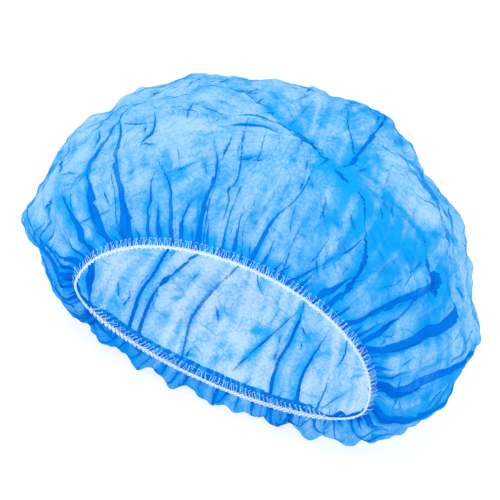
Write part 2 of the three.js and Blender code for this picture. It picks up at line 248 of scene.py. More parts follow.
# The elastic and the overlock stitches over it
SEAM_PLACES = 924
ELASTIC_PLACES = 400
ELASTIC_RADIUS = 0.35 * MM
ELASTIC_SIDES = 8
STITCH_PITCH = 3 * MM
THREAD_RADIUS = 0.13 * MM

# How closely the cloth is gathered, with the painted shade of folds, crumples and parts of the
# crown and the painted light of parts added in, which its look follows. It is uneven: streaks of
# fine gathers on the way to the back, and clouds, as waves like those above. STREAKED_TIGHTNESS is
# what stays of it and what changes with the streaks, and UNEVENNESS what each of the three adds.
STREAKS = (40, 0.17, 0.04)
BROAD_STREAKS = (16, 0.55, 0.22)
CLOUDS = (36, 34 * MM, 9 * MM)
STREAK_STRETCH = 0.16
STREAK_MOST = 1.5
STREAKED_TIGHTNESS = (0.78, 0.26)
UNEVENNESS = (0.10, 0.10, 0.08)
SEAM_TIGHTNESS = 1.0
RUFFLE_TIGHTNESS = 0.35
FOLD_MOST = 1.2

# Parts of the crown painted darker, as painted shade that partly stands for closely crumpled
# cloth, and with an amount below 0 painted lighter, as painted light on loose cloth: turn, at,
# spread in mm, amount
SHADED_AND_LIT_PARTS = (
    (54, 0.22, 42, 1.0), (42, 0.32, 22, 0.8), (70, 0.27, 22, 0.35),
    (79, 0.42, 17, 0.8), (68, 0.77, 30, 0.8), (85, 0.50, 14, 0.3),
    (12, 0.20, 32, 0.5), (95, 0.60, 24, 0.3), (158, 0.15, 16, 0.5),
    (172, 0.15, 14, 0.4), (152, 0.24, 16, 0.3), (205, 0.16, 28, 0.5),
    (122, 0.22, 9, 0.4), (239, 0.12, 20, 0.5), (229, 0.31, 14, 0.9),
    (255, 0.40, 60, 0.2), (300, 0.45, 52, 0.34), (76, 0.52, 12, 0.6),
    (68, 0.22, 13, 0.4), (8, 0.30, 26, 0.3), (95, 0.22, 26, 0.2),
    (48, 0.23, 10, -2.6), (40, 0.15, 9, -1.9), (26, 0.11, 12, -1.7),
    (20, 0.27, 12, -1.4), (68, 0.59, 13, -1.3), (54, 0.47, 11, -1.3),
    (95, 0.68, 8, -0.4), (84, 0.59, 9, -0.4), (136, 0.30, 12, -0.3),
    (128, 0.28, 40, -0.2), (116, 0.16, 9, -0.3), (130, 0.16, 7, -0.3),
)

# The cloth's look. Density is the share of the cloth that isn't clear, and it is highest where
# the cloth is gathered and where shade is painted. Painted crease shade, thin darker lines which
# partly stand for cloth doubled in creases: scale, width and bend in parts of the flat disc, and
# what they add to the cloth's darkness.
FIBRE_SCALE = 230
FIBRE_AMOUNT = 0.28
CREASE_SHADE_LINES = ((13, 0.020, 0.05, 0.46), (34, 0.040, 0.03, 0.34))
TIGHT_AND_SHADE_RANGE = (-0.50, 1.40)
DENSITY = (0.20, 0.52)
CLEAR_TINT = (0.80, 0.925, 0.98, 1)
DENSE_AND_SHADED_TINT = (0.03, 0.52, 0.92, 1)
CLOTH_BLUE = (0.0, 0.42, 0.88, 1)
LIT_THROUGH = (0.0, 0.45, 0.90, 1)

# Overlock legs: start as a share of the pitch; start, middle and end place along the reach,
# the seam and off the cloth, in shares of the seam's width; limits of the swing and the size;
# seed; steps and sides. The last row is the short cross thread at the legs' ends.
LEGS = (
    (0.0, ((-0.02, 0.0, 0.03), (0.5, 0.02, 0.13), (0.98, 0.0, 0.05)), (-0.16, 0.16), (0.8, 1.12), 0, 5),
    (0.42, ((0.0, 0.0, 0.03), (0.45, -0.03, 0.16), (0.86, 0.04, 0.06)), (-0.62, 0.5), (0.8, 1.12), 700, 5),
    (0.2, ((-0.02, 0.0, 0.05), (0.2, 0.05, 0.1), (0.5, 0.0, 0.08)), (-0.3, 0.5), (0.8, 1.12), 1400, 5),
    (0.0, ((0.94, -0.15, 0.03), (0.97, 0.0, 0.06), (0.94, 0.13, 0.03)), (-0.06, 0.06), (1, 1), 2100, 4),
)

# Loops of the edge threads: start; size and place in shares of the seam's width; then as above
LOOPS = (
    (0.0, ((0.06, 0.33, 1.0), (0.08, 0.0, 0.08)), (-0.16, 0.16), (0.88, 1.1), 0, 5),
    (0.5, ((0.06, 0.33, 1.0), (-0.07, 0.0, 0.10)), (-0.16, 0.16), (0.88, 1.1), 300, 5),
    (0.25, ((0.13, 0.26, 1.0), (0.0, 0.0, 0.12)), (-0.16, 0.16), (0.88, 1.1), 600, 5),
    (0.75, ((0.12, 0.08, 1.0), (-0.14, 0.0, 0.05)), (-0.16, 0.16), (0.88, 1.1), 900, 5),
)
LOOP_STEPS = 9
LEG_SIZE_SEED = 31
LOOP_SIZE_SEED = 17
STITCH_INPUTS = (
    ("Stitches", "Int"), ("Pitch", "Float"), ("Length", "Float"), ("Thread radius", "Float"),
    ("Seed", "Int"), ("Material", "Material"),
)

# The floor, the light and the view
FLOOR_GREY = (0.25, 0.25, 0.25, 1)
FLOOR_GLOW = 0.78
WHITE = (1, 1, 1, 1)
SKY_STRENGTH = 1.05
KEY_POWER = 6
KEY_SIZE = 0.9
KEY_PLACE = (-0.5, -0.5, 1.1)
KEY_TARGET = Vector((0, 0, 0.06))
VIEW_ELEVATION = math.radians(45)
VIEW_ROLL = math.radians(24)
VIEW_TARGET = Vector((-7.83, -11.23, 68)) * MM
VIEW_DISTANCE = 1.2
VIEW_LENS = 144
VIEW_SENSOR = 36

# The parts of the cap's form before its folds: points, outward directions, metres for each
# degree and for each share of the way to the back, the share travelled at each at, and the
# crumples' painted crease shade with the painted shade and light of parts of the crown
POINTS, NORMALS, PER_DEGREE, PER_SHARE, TRAVELLED, CRUMPLES_AND_SHADE = range(6)


def monotone_slopes(places, values):
    """Slopes of a smooth line through rows of a table, without overshoot between them."""
    span = np.diff(places)
    slope = np.diff(values) / span
    before, after = slope[:-1], slope[1:]
    early, late = 2 * span[1:] + span[:-1], span[1:] + 2 * span[:-1]
    steady = before * after > 0
    safe_before, safe_after = np.where(steady, before, 1), np.where(steady, after, 1)
    inner = np.where(steady, (early + late) / (early / safe_before + late / safe_after), 0)
    return np.concatenate([slope[:1], inner, slope[-1:]])


SECTION_SLOPES = {
    name: monotone_slopes(SECTION_ROWS[:, 0], SECTION_ROWS[:, i])
    for i, name in enumerate(SECTION_COLUMNS)
}


def section_value(column, at):
    """Value of one column of the section table at each place."""
    places = SECTION_ROWS[:, 0]
    values = SECTION_ROWS[:, SECTION_COLUMNS.index(column)]
    slopes = SECTION_SLOPES[column]
    k = np.clip(np.searchsorted(places, at, side="right") - 1, 0, len(places) - 2)
    span = places[k + 1] - places[k]
    u = (at - places[k]) / span
    return (
        (1 + 2 * u) * (1 - u) ** 2 * values[k]
        + u * u * (3 - 2 * u) * values[k + 1]
        + u * (1 - u) * span * ((1 - u) * slopes[k] - u * slopes[k + 1])
    )


def row_frame_shift():
    """From the section table's frame to the part's, found from the elastic, which keeps its place."""
    low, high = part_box("elastic_band")
    return np.array([(low[0] + high[0]) / 2, high[1] + SEAM_GAP, 0.0])


SHIFT = row_frame_shift()


def plain_points(turn, at):
    """Points of the plain puffed cap, before its puffs, creases and folds."""
    turn, at = np.broadcast_arrays(np.asarray(turn, float), np.asarray(at, float))
    side, rise = np.cos(np.radians(turn)), np.sin(np.radians(turn))
    rim = section_value("rim", at)
    half_width = rim * MOUTH_WIDTH / 2 + CAP_WIDTH / 2 * np.where(
        side > 0, section_value("right", at), section_value("left", at)
    )
    middle = rim * (MOUTH_LIFT + MOUTH_WIDEST_AT * MOUTH_HEIGHT)
    middle = middle + section_value("middle", at) * CAP_HEIGHT
    top = rim * (MOUTH_LIFT + MOUTH_HEIGHT) + section_value("top", at) * CAP_HEIGHT
    bottom = rim * MOUTH_LIFT + section_value("bottom", at) * CAP_HEIGHT
    forward = section_value("nose", at) * (1 - rise) / 2
    return SHIFT + np.stack([
        half_width * side,
        (section_value("depth", at) - forward) * CAP_DEPTH,
        middle + np.where(rise > 0, top - middle, middle - bottom) * rise,
    ], axis=-1)


def unit(vectors):
    return vectors / np.maximum(np.linalg.norm(vectors, axis=-1, keepdims=True), 1e-12)


def plain_normals(turn, at):
    """Directions straight out of the plain cap's cloth."""
    low = np.maximum(at - 0.004, 0)
    high = np.minimum(at + 0.004, 0.9999)
    across = plain_points(turn + 1, at) - plain_points(turn - 1, at)
    along = plain_points(turn, high) - plain_points(turn, low)
    normals = -unit(np.cross(across, along))
    return np.where((at > 0.995)[..., None], np.array([0.0, 1.0, 0.0]), normals)


def bell(distance, spread):
    return np.exp(-((distance / spread) ** 2))


def smoothstep(value, low, high):
    u = np.clip((value - low) / (high - low), 0, 1)
    return u * u * (3 - 2 * u)


def bent_line(a, b, c, u):
    """A smooth line from a at u 0 through b at 1/2 to c at 1."""
    return (1 - u) ** 2 * a + 2 * u * (1 - u) * (2 * b - (a + c) / 2) + u * u * c


def stand_out(points):
    """How far the cloth stands out of the plain cap through its puffs and creases."""
    height = np.zeros(points.shape[:-1])
    for turn, at, reach, spread in PUFFS:
        distance = np.linalg.norm(points - plain_points(turn, at), axis=-1)
        height += reach * CAP_WIDTH * bell(distance, spread * CAP_WIDTH)
    steps = np.arange(CREASE_STEPS + 1) / CREASE_STEPS
    swell = np.sin(np.pi * (CREASE_ARCH[0] + (CREASE_ARCH[1] - CREASE_ARCH[0]) * steps))
    for start, through, end, sink, spread in CREASES:
        turns = bent_line(start[0], through[0], end[0], steps)
        ats = bent_line(start[1], through[1], end[1], steps)
        deepest = np.zeros(points.shape[:-1])
        for near, share in zip(plain_points(turns, ats), swell):
            squared = ((points - near) ** 2).sum(-1)
            deepest = np.maximum(deepest, share * np.exp(-squared / (spread * CAP_HEIGHT) ** 2))
        height -= sink * CAP_HEIGHT * deepest
    return height


def looseness(turn, at):
    """From 0, smooth in the seam, to 1, where the cloth has its full shape."""
    lower = (1 - np.sin(np.radians(turn))) / 2
    return smoothstep(at, 0.012 + 0.022 * lower, 0.060 + 0.035 * lower)


def settle(height):
    """Cloth lies flat where it would reach below the floor."""
    eased = (np.maximum(height, -SETTLE_HEIGHT) + SETTLE_HEIGHT) ** 2 / (4 * SETTLE_HEIGHT)
    return np.where(height >= SETTLE_HEIGHT, height, eased)


def on_grid(grid, turn, share):
    """Values of a grid of (share, turn) rows and columns, by straight lines between its places."""
    rows, columns = grid.shape[:2]
    row = np.clip(share, 0, 1) * (rows - 1)
    column = (turn / 360 * columns) % columns
    i = np.minimum(row.astype(int), rows - 2)
    j = np.minimum(column.astype(int), columns - 1)
    u = (row - i)[..., None]
    v = (column - j)[..., None]
    grid = grid.reshape(rows, columns, -1)
    k = (j + 1) % columns
    value = (grid[i, j] * (1 - v) + grid[i, k] * v) * (1 - u)
    value = value + (grid[i + 1, j] * (1 - v) + grid[i + 1, k] * v) * u
    return value if value.shape[-1] > 1 else value[..., 0]


def crumple(points, rng, waves, longest, shortest):
    """A smooth random field over points in space, mostly from -1 to 1."""
    total = np.zeros(points.shape[:-1], np.float32)
    points = points.astype(np.float32)
    for _ in range(waves):
        direction = unit(rng.normal(size=3))
        length = longest * (shortest / longest) ** rng.random()
        wave = (direction * 2 * math.pi / length).astype(np.float32)
        total += np.sin(points @ wave + np.float32(rng.random() * 2 * math.pi))
    return total / math.sqrt(waves / 2)


def gather_waves(turns, places, rng):
    """Scallops round the mouth, where the cloth is gathered: strongest in the lower ruffle."""
    waves = np.zeros((len(places), len(turns)))
    for _ in range(GATHER_WAVES):
        count = rng.integers(GATHER_COUNTS[0], GATHER_COUNTS[1])
        drift = rng.normal() * 10 * (places[:, None] / MERIDIAN) ** 2
        waves += np.sin(np.radians(turns[None] * count + 360 * rng.random()) + drift)
    waves /= math.sqrt(GATHER_WAVES / 2)
    lower = (1 - np.sin(np.radians(turns))) / 2
    high = RUFFLE_HEIGHT[0] + (RUFFLE_HEIGHT[1] - RUFFLE_HEIGHT[0]) * lower
    there = smoothstep(places, 1 * MM, 9 * MM) * (1 - smoothstep(places, 18 * MM, 110 * MM))
    return waves * high[None] * there[:, None]


def even_ats(turns, shares):
    """The table's at for each share of the way to the back, and the share travelled at each at."""
    probe = np.linspace(0, 1, AT_STEPS)
    steps = np.linalg.norm(np.diff(plain_points(turns[None], probe[:, None]), axis=0), axis=-1)
    travelled = np.vstack([np.zeros(len(turns)), np.cumsum(steps, axis=0)])
    travelled /= travelled[-1]
    ats = [np.interp(shares, travelled[:, i], probe) for i in range(len(turns))]
    return np.stack(ats, axis=1), travelled


def crumples(points, turns, shares, rng):
    """How far crumples and gathers move the cloth outward, and the painted crease shade that darkens
    the cloth along the crumples' valleys, partly for cloth doubled there.
    """
    places = shares * MERIDIAN
    crumpled = smoothstep(places, 6 * MM, 45 * MM)[:, None]
    large = crumple(points, rng, *LARGE_WAVES)
    small = crumple(points, rng, *SMALL_WAVES)
    fine = crumple(points, rng, *FINE_WAVES)
    relief = crumpled * (LARGE_CRUMPLE * (np.abs(large) - 1) + SMALL_CRUMPLE * (np.abs(small) - 1))
    relief += FINE_CRUMPLE * smoothstep(places, 0, 8 * MM)[:, None] * fine
    relief += gather_waves(turns, places, rng)
    relief *= 1 - smoothstep(shares, 0.985, 1)[:, None]
    # Painted crease shade: darker cloth along the valleys of the large and small crumples.
    return relief, crumpled * (
        0.50 * bell(large, 0.10) * smoothstep(small, -0.6, 0.9)
        + 0.36 * bell(small, 0.16) * smoothstep(large, -0.9, 0.7)
        + 0.22 * smoothstep(np.abs(large), 0.9, 0.1)
    )


def smooth_cap(rng):
    """The cap's form before its folds, on a fine grid, in the order of POINTS to CRUMPLES_AND_SHADE."""
    rows = int(MERIDIAN / FINE_STEP) + 1
    turns = np.arange(FINE_COLUMNS) * 360 / FINE_COLUMNS
    shares = np.linspace(0, 1, rows)
    few = turns[::5]
    ats, travelled = even_ats(few, shares)
    some = ats[::3]
    heights = stand_out(plain_points(few[None], some)) * looseness(few[None], some)
    turn, share = np.meshgrid(turns, shares)
    heights = on_grid(heights, turn, share * (rows - 1) / (3 * (len(some) - 1)))
    at = on_grid(ats, turn, share)
    normals = plain_normals(turn, at)
    points = plain_points(turn, at) + normals * heights[..., None]
    relief, tight_and_shaded = crumples(points, turns, shares, rng)
    points += normals * relief[..., None]
    # Painted shade where the amount is above 0, and painted light where it is below 0.
    for near_turn, near_at, spread, amount in SHADED_AND_LIT_PARTS:
        distance = np.linalg.norm(points - plain_points(near_turn, near_at), axis=-1)
        tight_and_shaded += amount * bell(distance, spread * MM)
    across = np.roll(points, -4, axis=1) - np.roll(points, 4, axis=1)
    per_degree = np.linalg.norm(across, axis=-1) / (8 * 360 / FINE_COLUMNS)
    per_share = np.linalg.norm(np.gradient(points, axis=0), axis=-1) * (rows - 1)
    return points, normals, per_degree, per_share, travelled, tight_and_shaded


def soft_line(places, count):
    """A smooth line through a few places, as count even steps."""
    places = np.asarray(places, float)
    u = np.linspace(0, 1, count + 1)
    corners = np.linspace(0, 1, len(places))
    line = np.stack([np.interp(u, corners, places[:, k]) for k in (0, 1)], axis=1)
    rounds = max(1, int(round(count / (len(places) - 1) * 0.7))) ** 2 // 4
    for _ in range(rounds):
        line[1:-1] = 0.25 * line[:-2] + 0.5 * line[1:-1] + 0.25 * line[2:]
    return line


def nearest_on_line(line, wide, deep, turn, share):
    """How far each place of a part of the grid is from a line, with a sign for its side, how far
    along the line that is, and the way out of the line there as turn and share."""
    best = np.full((len(share), turn.shape[1]), 1e9)
    found = np.zeros((4, *best.shape))
    for k in range(len(line) - 1):
        w, d = (wide[k] + wide[k + 1]) / 2, (deep[k] + deep[k + 1]) / 2
        step = np.array([(line[k + 1, 0] - line[k, 0]) * w, (line[k + 1, 1] - line[k, 1]) * d])
        length = np.hypot(*step) + 1e-9
        x = (turn - line[k, 0]) * w
        y = (share - line[k, 1]) * d
        u = np.clip((x * step[0] + y * step[1]) / length ** 2, 0, 1)
        far = np.hypot(x - u * step[0], y - u * step[1])
        side = np.sign(x * step[1] - y * step[0])
        near = far < best
        np.copyto(best, far, where=near)
        values = (side * far, (k + u) / (len(line) - 1), step[1] / length / w, -step[0] / length / d)
        for held, value in zip(found, values):
            np.copyto(held, value, where=near)
    return found


def lay_fold(shift, cap, line, widths, lean, softness):
    """Lays the cloth back over itself along a line of (turn, share) places, as wide as widths, and
    paints shade on the cloth beside it.
    """
    rows, columns = shift.shape[:2]
    wide, deep = line_scales(cap, line)
    reach = (3.2 * softness + 1.4) * max(widths) + 1.5 * MM
    first = max(int((line[:, 1].min() - reach / deep.min()) * (rows - 1)), 0)
    last = min(int((line[:, 1].max() + reach / deep.min()) * (rows - 1)) + 2, rows)
    left = int((line[:, 0].min() - reach / wide.min()) / 360 * columns)
    right = int((line[:, 0].max() + reach / wide.min()) / 360 * columns) + 2
    if last - first < 2 or right - left >= columns:
        return
    turn = np.arange(left, right)[None] * 360 / columns
    share = np.arange(first, last)[:, None] / (rows - 1)
    gap, along, out_turn, out_share = nearest_on_line(line, wide, deep, turn, share)
    width = np.interp(along, np.linspace(0, 1, len(widths)), widths)
    soft = np.maximum(width * softness, SOFT_LEAST)
    amount = (0.5 * width + soft) / WAVE_PEAK * smoothstep(width, 0.3 * MM, 1.0 * MM)
    crossing = smoothstep(np.abs(out_share * cap[PER_SHARE].mean()), 0.5, 0.85)
    amount = amount * (1 - FOLD_CROSSING * crossing)
    x = gap / soft
    move = -amount * x * np.exp(-x * x / 2)
    under = gap * lean
    ended = smoothstep(under, 1.5 * soft, 1.5 * soft + 1.2 * width)
    lift = -2 * LAYER_GAP * (smoothstep(under / soft, -1, 1) * (1 - ended)) * np.minimum(width / MM, 1)
    # Painted shade beside the fold: the cloth there is darkened, partly for the layers the fold lays.
    shade = FOLD_SHADE * width + FOLD_EDGE
    tight_and_shaded = FOLD_SHADE_AMOUNT * smoothstep(width, 0.4 * MM, 2 * MM) * bell(gap, shade)
    here = np.ix_(np.arange(first, last), np.arange(left, right) % columns)
    shift[here] += np.stack([move * out_turn, move * out_share, lift, tight_and_shaded], axis=-1)


def line_scales(cap, line):
    """Metres for each degree and for each share of the way to the back, along a line."""
    return [on_grid(cap[name], line[:, 0], line[:, 1]) for name in (PER_DEGREE, PER_SHARE)]


def main_folds(cap, rng):
    """The table's folds, with each place's at turned into a share of the way to the back, and
    slimmer folds beside them."""
    for widths, lean, places in FOLDS:
        line = soft_line(places, FOLD_STEPS)
        shares = on_grid(cap[TRAVELLED], line[:, 0], np.maximum(line[:, 1], 0))
        line[:, 1] = np.where(line[:, 1] < 0, line[:, 1], shares)
        yield line, [w * FOLD_WIDTH for w in widths], lean
        wide, deep = line_scales(cap, line)
        way = unit(np.gradient(line, axis=0) * np.stack([wide, deep], axis=1))
        aside = np.stack([way[:, 1] / wide, -way[:, 0] / deep], axis=1)
        far = np.interp(np.linspace(0, 1, len(line)), np.linspace(0, 1, len(widths)), widths)
        far = far * FOLD_WIDTH
        for _ in range(2):
            side = rng.choice([-1.0, 1.0]) * (0.5 + 0.7 * rng.random())
            first = rng.integers(0, 6)
            last = rng.integers(15, 25)
            near = line + aside * (far * side + 0.6 * MM * rng.normal())[:, None]
            slim = far[first:last] * (0.2 + 0.25 * rng.random())
            yield near[first:last], [FOLD_TIP, *slim[2:-1:3], FOLD_TIP], -lean


def seam_pleats(rng):
    """The pleats behind the seam, which are narrow beside a main fold."""
    starts = [places[0][0] for _, _, places in FOLDS if places[0][1] < 0]
    for q in range(SEAM_PLEATS):
        turn = 360 * (q + 0.5 + 0.5 * (rng.random() - 0.5)) / SEAM_PLEATS
        reach = LONG_REACH
        for every, length in reversed(PLEAT_REACH):
            if q % every == every // 2:
                reach = length
                break
        reach *= 0.7 + 0.6 * rng.random()
        reach += LOWER_REACH * float(turned_hem(turn))
        if min(abs((s - turn + 180) % 360 - 180) for s in starts) < 2.2:
            reach = min(reach, 8 * MM)
        wander, bend = rng.normal(size=2) * (reach / 40 / MM) * 3.5
        middle = (turn + 0.3 * bend, 0.45 * reach / MERIDIAN)
        line = soft_line([(turn, -0.02), middle, (turn + wander, reach / MERIDIAN)], 10)
        width = PLEAT_WIDTH * (0.75 + 0.5 * rng.random())
        yield line, [width, 0.8 * width, 0.45 * width, 0.4 * MM], rng.choice([-1.0, 1.0])


def small_folds(cap, rng):
    """Short folds strewn over the crown, most of them nearly along the way to the back."""
    most = cap[PER_DEGREE].max()
    left = SMALL_FOLDS
    while left:
        turn, share = rng.random() * 360, 0.07 + 0.84 * rng.random()
        middle = np.array([turn, share])
        wide, deep = [scale[0] for scale in line_scales(cap, middle[None])]
        if rng.random() > wide / most:
            continue
        left -= 1
        short, long = SMALL_FOLD_LENGTH
        length = short * (long / short) ** rng.random()
        angle = math.radians(rng.normal() * (26 + 40 * share))
        way = np.array([math.sin(angle) / wide, math.cos(angle) / deep]) * length / 2
        aside = np.array([way[1] * deep / wide, -way[0] * wide / deep]) * rng.normal() * 0.16
        line = soft_line([middle - way, middle + aside, middle + way], 8)
        if line[:, 1].min() < SMALL_FOLD_SHARES[0] or line[:, 1].max() > SMALL_FOLD_SHARES[1]:
            left += 1
            continue
        slim, wide = SMALL_FOLD_WIDTH
        width = slim + (wide - slim) * rng.random() ** 2
        yield line, [FOLD_TIP, width, 0.8 * width, FOLD_TIP], rng.choice([-1.0, 1.0])


def turned_hem(turn):
    """1 where the hem is turned up inside the mouth, 0 where it lies along the crown."""
    turn = turn % 360
    a, b, c, d = HEM_TURNED
    return smoothstep(turn, a, b) * (1 - smoothstep(turn, c, d))


def inward(cap, turn):
    """The way from the elastic up into the mouth."""
    ring = on_grid(cap[POINTS], turn, np.zeros_like(turn))
    return unit(unit(cap[POINTS][0].mean(0) - ring) + np.array([0, HEM_BACK, 0]))


def on_cap(cap, turn, share, lift):
    """Where the cloth lies that is at this turn and share of its way from its edge to the back."""
    tucked = HEM_UPTURN * turned_hem(turn)
    place = share * MERIDIAN
    surface = np.maximum(place - tucked, 0) / (MERIDIAN - tucked)
    spare = np.maximum(tucked - place, 0)
    points = on_grid(cap[POINTS], turn, surface)
    points = points + on_grid(cap[NORMALS], turn, surface) * lift[..., None]
    return points + inward(cap, turn) * spare[..., None]


def even_steps(points, window, spare, closed):
    """Moves the points of each row to steps that are even over a short stretch of the row."""
    after = np.roll(points, -1, axis=1)
    if not closed:
        after[:, -1] = points[:, -1]
    steps = np.linalg.norm(after[..., :3] - points[..., :3], axis=-1)
    steps = steps + spare * steps.mean(1, keepdims=True)
    half = window // 2
    if closed:
        wrapped = np.concatenate([steps[:, -half - 1:], steps, steps[:, :half]], axis=1)
    else:
        wrapped = np.pad(steps, ((0, 0), (half + 1, half)), mode="edge")
    summed = np.cumsum(wrapped, axis=1)
    steps = steps / (summed[:, 2 * half + 1:] - summed[:, :-2 * half - 1])
    count = points.shape[1]
    moved = np.empty_like(points)
    for i, row in enumerate(points):
        if closed:
            travelled = np.concatenate([[0], np.cumsum(steps[i])])
            row = np.vstack([row, row[:1]])
            even = np.arange(count) * travelled[-1] / count
        else:
            travelled = np.concatenate([[0], np.cumsum(steps[i, :-1])])
            even = np.linspace(0, travelled[-1], count)
        for k in range(points.shape[2]):
            moved[i, :, k] = np.interp(even, travelled, row[:, k])
    return moved


def grid_rows():
    """The kept rows' shares of the way to the back, and the strip that each one is in."""
    places, strips = [0.0], []
    for strip, (until, spacing, _) in enumerate(STRIPS):
        while places[-1] + spacing / 2 < until:
            places.append(places[-1] + spacing)
            strips.append(strip)
    return np.array(places) / places[-1], np.array(strips)


def seam_tightness(turn, share):
    """How tightly the cloth is gathered in the seam, beyond the pleats that the mesh shows."""
    place = share * MERIDIAN
    ruffle = RUFFLE_TIGHTNESS * turned_hem(turn) * (1 - smoothstep(place, 20 * MM, 60 * MM))
    return SEAM_TIGHTNESS * (1 - smoothstep(place, 5 * MM, 19 * MM)) + ruffle


def uneven(tight_and_shaded, turn, share, rng):
    """Breaks the cloth's gathers and painted shade and light up into streaks and clouds."""
    round_way = np.stack([np.cos(np.radians(turn)), np.sin(np.radians(turn))], axis=-1)
    streaked = np.concatenate([round_way, STREAK_STRETCH * share[..., None]], axis=-1)
    disc = round_way * (1 - share[..., None]) * DISC_RADIUS
    flat = np.concatenate([disc, 0 * share[..., None]], axis=-1)
    streaks = np.clip(crumple(streaked, rng, *STREAKS), -STREAK_MOST, STREAK_MOST)
    broad = crumple(streaked, rng, *BROAD_STREAKS)
    clouds = crumple(flat, rng, *CLOUDS)
    steady, changing = STREAKED_TIGHTNESS
    a, b, c = UNEVENNESS
    return tight_and_shaded * (steady + changing * streaks) + a * streaks + b * broad + c * clouds


def make_cloth():
    rng = np.random.default_rng(SEED)
    cap = smooth_cap(rng)
    rows = len(cap[POINTS])
    shift = np.zeros((rows, COLUMNS, 4))
    for folds, softness in (
        (main_folds(cap, rng), FOLD_SOFTNESS),
        (seam_pleats(rng), PLEAT_SOFTNESS),
        (small_folds(cap, rng), FOLD_SOFTNESS),
    ):
        for line, widths, lean in folds:
            lay_fold(shift, cap, line, widths, lean, softness)
    turn, share = np.meshgrid(np.arange(COLUMNS) * 360 / COLUMNS, np.linspace(0, 1, rows))
    shift[-1, :, :2] = 0
    laid_turn, laid_share = turn + shift[..., 0], share + shift[..., 1]
    cloth = on_cap(cap, laid_turn, laid_share, shift[..., 2])
    # The folds' painted shade, the seam's gathers and the crumples' and parts' painted shade and light,
    # added up.
    tight_and_shaded = np.minimum(shift[..., 3], FOLD_MOST) + seam_tightness(turn, share)
    tight_and_shaded += on_grid(cap[CRUMPLES_AND_SHADE], laid_turn, laid_share)
    tight_and_shaded = uneven(tight_and_shaded, turn, share, rng)
    cloth = np.concatenate([cloth, tight_and_shaded[..., None]], axis=2)
    shares, strips = grid_rows()
    cloth = even_steps(cloth.swapaxes(0, 1), int(EVEN_DOWN / FINE_STEP), SPARE_DOWN, False)
    cloth = cloth.swapaxes(0, 1)
    kept = shares * (rows - 1)
    low = np.minimum(kept.astype(int), rows - 2)
    part = (kept - low)[:, None, None]
    cloth = cloth[low] * (1 - part) + cloth[low + 1] * part
    cloth = even_steps(cloth, EVEN_ROUND * COLUMNS // 360, SPARE_ROUND, True)
    cloth[-1] = cloth[-1].mean(0)
    cloth[..., 2] = np.maximum(settle(cloth[..., 2]), CLOTH_LIFT)
    return cap, cloth, shares, strips


def row_faces(first, here, second, there):
    """Triangles between two rows of the grid, of which the second may have half the columns."""
    j = np.arange(there)
    c, d = second + j, second + (j + 1) % there
    if here == there:
        a, b = first + j, first + (j + 1) % here
        corners = ((a, c, b), (b, c, d))
    else:
        a, m, b = first + 2 * j, first + 2 * j + 1, first + (2 * j + 2) % here
        corners = ((a, c, m), (m, c, d), (m, d, b))
    return [np.stack(three, axis=1) for three in corners]


def cloth_mesh(cloth, shares, strips):
    """Joins the grid into one mesh, with fewer columns further from the mouth."""
    rows = [cloth[i, ::STRIPS[strip][2]] for i, strip in enumerate((0, *strips[:-1]))]
    sizes = [len(row) for row in rows]
    starts = np.cumsum([0, *sizes])
    flat = []
    for size, share in zip(sizes, shares):
        angle = np.arange(size) * 2 * math.pi / size
        radius = 0.5 * (1 - share)
        flat.append(np.stack([0.5 + radius * np.cos(angle), 0.5 + radius * np.sin(angle)], axis=1))
    flat.append(np.array([[0.5, 0.5]]))
    faces = []
    for i in range(len(rows) - 1):
        faces += row_faces(starts[i], sizes[i], starts[i + 1], sizes[i + 1])
    j = np.arange(sizes[-1])
    last, middle = starts[-2], np.full(sizes[-1], starts[-1])
    faces.append(np.stack([last + j, middle, last + (j + 1) % sizes[-1]], axis=1))
    points = np.concatenate([*rows, cloth[-1, :1]])
    faces = np.concatenate(faces)
    mesh = bpy.data.meshes.new("crown_cloth")
    mesh.vertices.add(len(points))
    mesh.vertices.foreach_set("co", points[:, :3].astype(np.float32).ravel())
    mesh.loops.add(faces.size)
    mesh.loops.foreach_set("vertex_index", faces.ravel().astype(np.int32))
    mesh.polygons.add(len(faces))
    mesh.polygons.foreach_set("loop_start", np.arange(0, faces.size, 3, dtype=np.int32))
    mesh.update(calc_edges=True)
    mesh.validate()
    # How closely gathered the cloth is, with its painted shade and light, which the material follows.
    tightness_and_shade = mesh.attributes.new("tightness_and_shade", "FLOAT", "POINT")
    tightness_and_shade.data.foreach_set("value", points[:, 3].astype(np.float32))
    uv = mesh.uv_layers.new(name="flat_cut")
    uv.data.foreach_set("uv", np.concatenate(flat)[faces.ravel()].astype(np.float32).ravel())
    mesh.shade_smooth()
    return mesh


def add_node(tree, kind, inputs=None, **options):
    """A node with its options, and its inputs set to values or linked to sockets."""
    node = tree.nodes.new(kind)
    for key, value in options.items():
        setattr(node, key, value)
    for key, value in (inputs or {}).items():
        if isinstance(value, bpy.types.NodeSocket):
            tree.links.new(value, node.inputs[key])
        else:
            node.inputs[key].default_value = value
    return node


def new_material(name):
    material = bpy.data.materials.new(name)
    material.use_nodes = True
    material.node_tree.nodes.clear()
    return material, material.node_tree


def add_surface(tree, shader):
    add_node(tree, "ShaderNodeOutputMaterial", {"Surface": shader.outputs[0]})


def link_math(tree, operation, *values):
    """A number worked out from numbers or sockets."""
    return add_node(tree, "ShaderNodeMath", dict(enumerate(values)), operation=operation).outputs[0]


def link_range(tree, value, low, high, to_low, to_high):
    ends = {"Value": value, "From Min": low, "From Max": high, "To Min": to_low, "To Max": to_high}
    return add_node(tree, "ShaderNodeMapRange", ends, interpolation_type="SMOOTHSTEP").outputs["Result"]


def link_noise(tree, vector, scale, detail, roughness):
    grain = {"Vector": vector, "Scale": scale, "Detail": detail, "Roughness": roughness}
    return add_node(tree, "ShaderNodeTexNoise", grain).outputs


def link_vector(tree, operation, inputs):
    return add_node(tree, "ShaderNodeVectorMath", inputs, operation=operation).outputs[0]


